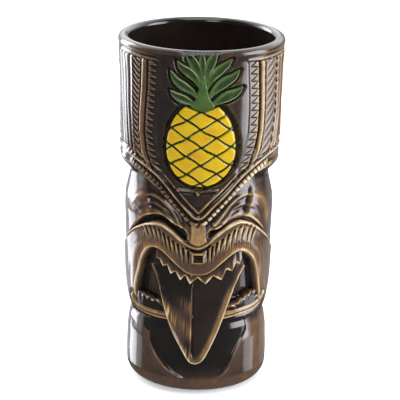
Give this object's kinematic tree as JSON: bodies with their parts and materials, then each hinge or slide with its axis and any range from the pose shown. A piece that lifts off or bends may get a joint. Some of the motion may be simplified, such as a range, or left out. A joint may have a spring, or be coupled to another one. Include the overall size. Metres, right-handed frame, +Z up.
{
  "type": "tiki mug",
  "caption": "Tall ceramic drinking mug with a carved face, hanging tongue and a drum headdress bearing a glazed pineapple.",
  "frame": {"origin": "centre of the base plane that the mug stands on", "axes": "+Z up along the mug's axis, -Y out of the carved face, +X to the right of a viewer who looks at the face"},
  "size_m": [0.0768, 0.0768, 0.165],
  "materials": {
    "brown_glaze": "glossy dark brown glaze that breaks to tan on raised edges and pools near-black in recesses",
    "yellow_glaze": "glossy yellow glaze with dark incised diamond lines",
    "green_glaze": "glossy green glaze with paler raised edges"
  },
  "bodies": {
    "root": {"mug_body": "brown_glaze", "headdress_band": "brown_glaze", "pineapple_fruit": "yellow_glaze", "pineapple_leaves": "green_glaze", "brow_left": "brown_glaze", "brow_right": "brown_glaze", "cheek_left": "brown_glaze", "cheek_right": "brown_glaze", "nose": "brown_glaze", "upper_lip": "brown_glaze", "upper_teeth": "brown_glaze", "tongue": "brown_glaze", "lower_teeth_left": "brown_glaze", "lower_teeth_right": "brown_glaze", "lower_lip_left": "brown_glaze", "lower_lip_right": "brown_glaze"}
  },
  "joints": []
}
